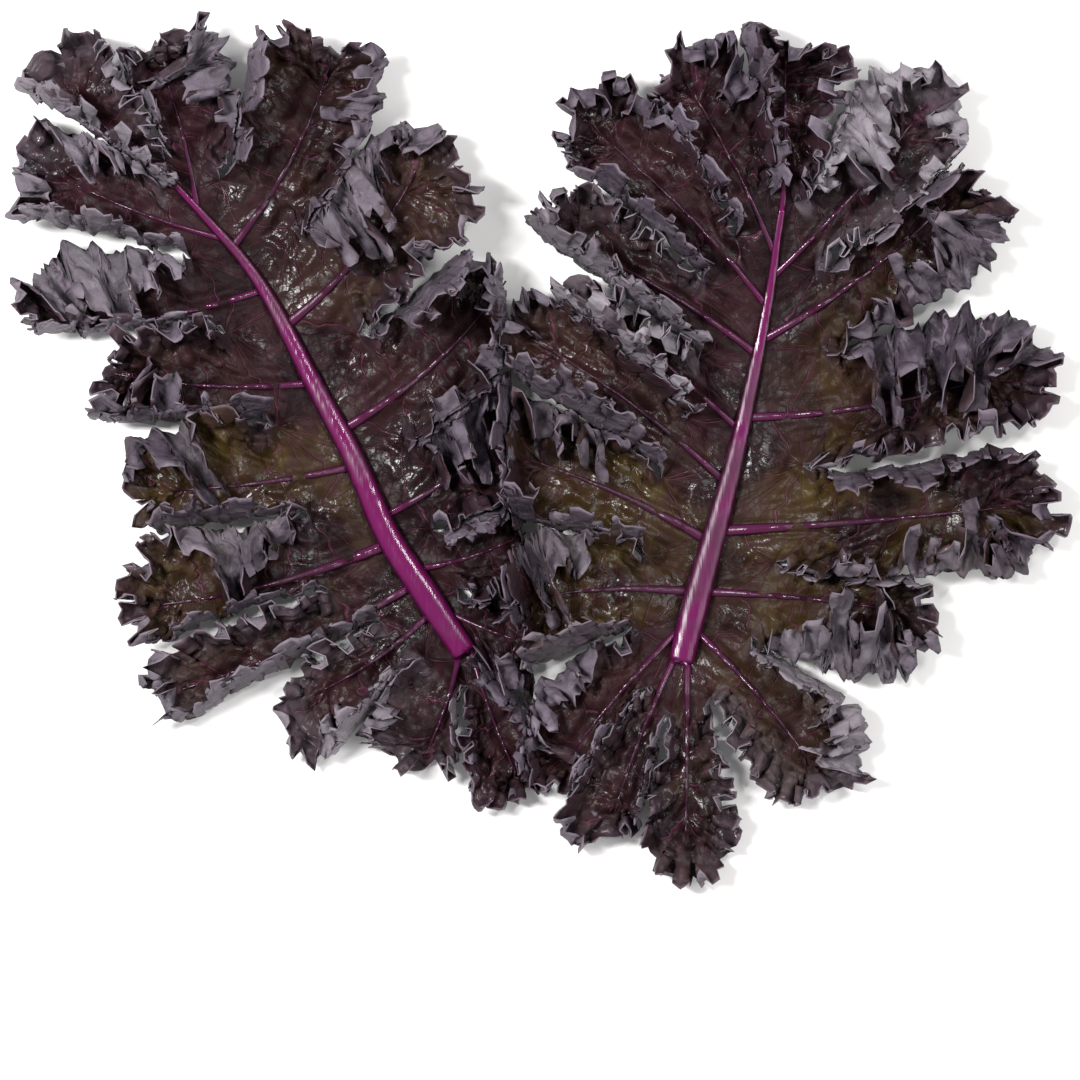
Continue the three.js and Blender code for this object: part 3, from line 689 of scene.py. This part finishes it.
# Underside: the wax lies thicker there, so it is matt and greyish mauve, and its veins stand out.
# The paler grey on the frills of some lobes is painted light, as on the upper side.
underLook = {
    "dark": "#282029", "light": "#574e5a", "olive": "#4c463f", "fleck": "#666069", "bloom": 0.4,
    "bloomColour": "#5e5260", "veinColour": "#7d6d7d", "veins": 0.7, "veinSpacing": 19.0,
    # The paler line along the very margin is a painted highlight here too.
    "veinWidth": 1.0, "edge": 0.4, "edgeHighlightColour": "#877983", "relief": 0.7, "bump": 1.0,
    "paintedLight": 0.65, "paintedLightColour": "#9a9399", "roughness": (0.6, 0.45), "specular": (0.12, 0.2),
}


# A grown leaf: fine veins run from each lobe's vein to the margin, with crinkled tissue between.
# run, frill, lateral, olive and the share of painted light are the sheet's own attributes.
def leafMaterial(name, look):
    material, tree = emptyMaterial(name)
    place = node(tree, "TexCoord", output="Object")
    run, frill, lateral, olive, paintedLight = (
        node(tree, "Attribute", output="Fac", attribute_name=fact)
        for fact in ("run", "frill", "lateral", "olive", "paintedLight")
    )
    noise = {
        part: node(tree, "TexNoise", {"Vector": place, "Scale": 1000 / size, "Detail": detail})
        for part, (size, detail) in skinSizes.items()
    }
    net = node(tree, "TexVoronoi", {"Vector": place, "Scale": 1000 / skinNet})
    # Each of these rises smoothly from one value to another over a stretch of what it reads.
    ramps = {
        "veinEnds": (frill, 0.95, 0.4, 0, 1),
        "veinStarts": (lateral, 0.04, 0.3, 0, 1),
        "light": (noise["patch"], 0.4, 0.66, 0, 1),
        "bloom": (frill, 0.35, 0.9, 0, look["bloom"]),
        "greenPatches": (noise["patch"], 0.38, 0.62, 0, 1),
        "greenInside": (frill, 1.0, 0.4, 0.4, 1),
        "greenOutside": (frill, 0, 0.35, 0.5, 1),
        "paintedLight": (paintedLight, 0, 1, 0, look["paintedLight"]),
        "paintedLightOutside": (frill, 0.1, 0.6, 0, 1),
        "fleck": (noise["mottle"], 0.5, 0.66, 0, 0.5),
        # Painted highlight: a paler line along the very margin, where the edges catch the light.
        "edge": (frill, 0.94, 1.0, 0, look["edge"]),
        "roughness": (noise["shine"], 0.48, 0.62, *look["roughness"]),
        "specular": (noise["shine"], 0.48, 0.66, *look["specular"]),
    }
    sway = node(tree, "Math", {0: noise["wander"], 1: 1.4}, operation="MULTIPLY")
    spread = node(tree, "Math", {0: lateral, 1: 0.12}, operation="MAXIMUM")
    for part, share, width in (("veins", 1.0, 1.0), ("fineVeins", 0.37, 0.5)):
        spacing = look["veinSpacing"] * share
        across = node(tree, "Math", {0: run, 1: 1 / spacing, 2: sway}, operation="MULTIPLY_ADD")
        away = node(tree, "Math", {0: across, 1: 0.5}, operation="PINGPONG")
        away = node(tree, "Math", {0: away, 1: spacing}, operation="MULTIPLY")
        away = node(tree, "Math", {0: away, 1: spread}, operation="MULTIPLY")
        half = look["veinWidth"] * width
        ramps[part] = (away, half, half * 0.15, 0, 0.25 + 0.75 * width * width)
    ramp = {
        part: node(
            tree, "MapRange", {0: value, 1: low, 2: high, 3: toLow, 4: toHigh},
            interpolation_type="SMOOTHSTEP",
        )
        for part, (value, low, high, toLow, toHigh) in ramps.items()
    }
    veins = node(tree, "Math", {0: ramp["veins"], 1: ramp["fineVeins"]}, operation="MAXIMUM")
    green = olive
    for part in ("veinEnds", "veinStarts"):
        veins = node(tree, "Math", {0: veins, 1: ramp[part]}, operation="MULTIPLY")
    for part in ("greenPatches", "greenInside", "greenOutside"):
        green = node(tree, "Math", {0: green, 1: ramp[part]}, operation="MULTIPLY")
    # Painted light: a paler grey on the outer frills of the lobes that light falls on most.
    paintedLightCover = node(tree, "Math", {0: ramp["paintedLight"], 1: ramp["paintedLightOutside"]}, operation="MULTIPLY")
    faintVeins = node(tree, "Math", {0: veins, 1: look["veins"]}, operation="MULTIPLY")
    colour = linear(look["dark"])
    for cover, shade in (
        (ramp["light"], "light"), (ramp["bloom"], "bloomColour"), (green, "olive"),
        (paintedLightCover, "paintedLightColour"), (ramp["fleck"], "fleck"), (faintVeins, "veinColour"),
        (ramp["edge"], "edgeHighlightColour"),
    ):
        colour = node(
            tree, "Mix", {0: cover, 6: colour, 7: linear(look[shade])}, output=2, data_type="RGBA"
        )
    height = 0.0
    for part, amount in (
        (net, 0.9), (noise["grain"], 0.7), (noise["mottle"], 1.2), (veins, look["relief"])
    ):
        height = node(tree, "Math", {0: part, 1: amount, 2: height}, operation="MULTIPLY_ADD")
    bump = node(
        tree, "Bump", {"Height": height, "Distance": 0.9 * millimetre, "Strength": look["bump"]}
    )
    shader = node(tree, "BsdfPrincipled", {
        "Base Color": colour, "Roughness": ramp["roughness"], "Specular IOR Level": ramp["specular"],
        "Normal": bump,
    })
    node(tree, "OutputMaterial", {"Surface": shader})
    return material


# Midribs and veins: a fleshy stalk whose smooth skin shines like wax. It is magenta on top, with
# painted shade that turns it almost black down its rounded flanks and underneath, and paler strands
# of its fibres show through. Its cut end shows dull, pale pith. Sizes are in mm.
ribLook = {
    "top": "#5c0b45", "flankShade": "#260817", "streak": "#782a62", "vein": "#301424", "pith": "#a39384",
    "pithCore": "#8a6a72",
    "roughness": (0.14, 0.34), "specular": 0.3, "strand": (1.1, 16.7, 3.3), "mottle": 22.0, "bump": 0.5,
    "dents": 6.0,
}


def ribMaterial(name, look):
    material, tree = emptyMaterial(name)
    place = node(tree, "TexCoord", output="Object")
    flankShade, tone, cut = (
        node(tree, "Attribute", output="Fac", attribute_name=fact) for fact in ("flankShade", "tone", "cut")
    )
    along = node(tree, "Mapping", {"Vector": place, "Scale": [1000 / size for size in look["strand"]]})
    strands = node(tree, "TexNoise", {"Vector": along, "Scale": 1.0, "Detail": 2.0})
    mottling = node(tree, "TexNoise", {"Vector": place, "Scale": 1000 / look["mottle"], "Detail": 2.0})
    ramps = {
        "flankShade": (flankShade, 0.4, 0.95, 0, 1),
        "mottling": (mottling, 0.45, 0.7, 0, 0.6),
        "streak": (strands, 0.55, 0.8, 0, 0.25),
        "vein": (tone, 0, 1, 0, 0.9),
        "pith": (cut, 0.4, 0.9, 0, 1),
        "pithCore": (mottling, 0.4, 0.6, 0, 0.7),
        "roughness": (mottling, 0.42, 0.6, *look["roughness"]),
    }
    ramp = {
        part: node(
            tree, "MapRange", {0: value, 1: low, 2: high, 3: toLow, 4: toHigh},
            interpolation_type="SMOOTHSTEP",
        )
        for part, (value, low, high, toLow, toHigh) in ramps.items()
    }
    colour = linear(look["top"])
    # Painted shade darkens the flanks and underside; random mottling darkens patches of skin toward the
    # same colour.
    for part, shade in (("flankShade", "flankShade"), ("mottling", "flankShade"), ("streak", "streak"), ("vein", "vein")):
        colour = node(
            tree, "Mix", {0: ramp[part], 6: colour, 7: linear(look[shade])}, output=2, data_type="RGBA"
        )
    height = node(tree, "Math", {0: mottling, 1: look["dents"], 2: strands}, operation="MULTIPLY_ADD")
    bump = node(
        tree, "Bump", {"Height": height, "Distance": 0.3 * millimetre, "Strength": look["bump"]}
    )
    pith = node(
        tree, "Mix", {0: ramp["pithCore"], 6: linear(look["pith"]), 7: linear(look["pithCore"])},
        output=2, data_type="RGBA",
    )
    colour = node(tree, "Mix", {0: ramp["pith"], 6: colour, 7: pith}, output=2, data_type="RGBA")
    shader = node(tree, "BsdfPrincipled", {
        "Base Color": colour, "Roughness": ramp["roughness"], "Specular IOR Level": look["specular"],
        "Normal": bump,
    })
    node(tree, "OutputMaterial", {"Surface": shader})
    return material


upper = leafMaterial("kale leaf, wax-bloomed upper side", upperLook)
under = leafMaterial("kale leaf, matt underside", underLook)
rib = ribMaterial("kale midrib, waxy skin", ribLook)
print("materials made")

for leaf in (leftLeaf, rightLeaf):
    lobes = layOut(leaf)
    blade = toObject(bladeSheet(leaf, lobes), leaf["name"] + "_sheet", [upper, under])
    skin = blade.modifiers.new("thickness", "SOLIDIFY")
    skin.thickness = bladeShape["thickness"] * millimetre
    skin.offset = 0
    skin.material_offset = 1
    skin.material_offset_rim = 1
    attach(blade, "root")
    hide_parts(leaf["name"] + "_blade")
    ribs = toObject(ribBranches(leaf, lobes), leaf["name"] + "_branches", [rib])
    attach(ribs, "root")
    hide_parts(leaf["name"] + "_ribs")
    print(leaf["name"], "made", len(blade.data.polygons), len(ribs.data.polygons))

# The table: a plain pale board under matt paint, which shows only a soft, faint grain of the roller.
table = {
    "size": 6000.0, "under": 0.2, "colour": "#f4f3f1", "roughness": 0.7, "grain": 2.0, "bump": 0.04,
}
bpy.ops.mesh.primitive_plane_add(
    size=table["size"] * millimetre, location=(0, 0, -table["under"] * millimetre)
)
floor = bpy.context.object
floor.name = "floor"
paint, paintTree = emptyMaterial("matt painted board")
board = node(paintTree, "TexCoord", output="Object")
roller = node(paintTree, "TexNoise", {"Vector": board, "Scale": 1000 / table["grain"]})
bump = node(
    paintTree, "Bump", {"Height": roller, "Distance": 0.2 * millimetre, "Strength": table["bump"]}
)
shader = node(paintTree, "BsdfPrincipled", {
    "Base Color": linear(table["colour"]), "Roughness": table["roughness"], "Normal": bump,
})
node(paintTree, "OutputMaterial", {"Surface": shader})
floor.data.materials.append(paint)

# Three lights above the table, and an even pale sky. Places and sizes are in metres.
lights = {
    "key": {"at": (-0.75, 0.2, 1.25), "size": 0.2, "length": 0.5, "power": 27},
    "fill": {"at": (1.1, -0.2, 1.0), "size": 0.9, "length": 0.9, "power": 9},
    "glint": {"at": (0.5, 0.4, 1.3), "size": 0.1, "length": 0.3, "power": 6},
}
sky = {"colour": "#f2f2f4", "strength": 0.55}
for name, light in lights.items():
    lamp = bpy.data.lights.new(name, "AREA")
    lamp.shape = "RECTANGLE"
    lamp.size = light["size"]
    lamp.size_y = light["length"]
    lamp.energy = light["power"]
    holder = bpy.data.objects.new(name, lamp)
    holder.location = light["at"]
    holder.rotation_euler = (-Vector(light["at"])).to_track_quat("-Z", "Y").to_euler()
    bpy.context.scene.collection.objects.link(holder)
world = bpy.data.worlds.new("studio")
world.use_nodes = True
world.node_tree.nodes["Background"].inputs["Color"].default_value = linear(sky["colour"])
world.node_tree.nodes["Background"].inputs["Strength"].default_value = sky["strength"]
bpy.context.scene.world = world
bpy.context.scene.view_settings.view_transform = "Standard"

# Straight down from high above, with the width in mm of what is seen at the leaves' height.
view = {"over": (-1.86, -34.66), "height": 1500.0, "leaves": 20.0, "width": 378.0}
camera = bpy.data.cameras.new("camera")
camera.sensor_width = 36
camera.lens = camera.sensor_width * (view["height"] - view["leaves"]) / view["width"]
camera.dof.use_dof = False
holder = bpy.data.objects.new("camera", camera)
holder.location = [value * millimetre for value in (*view["over"], view["height"])]
bpy.context.scene.collection.objects.link(holder)
bpy.context.scene.camera = holder
print("stage made")
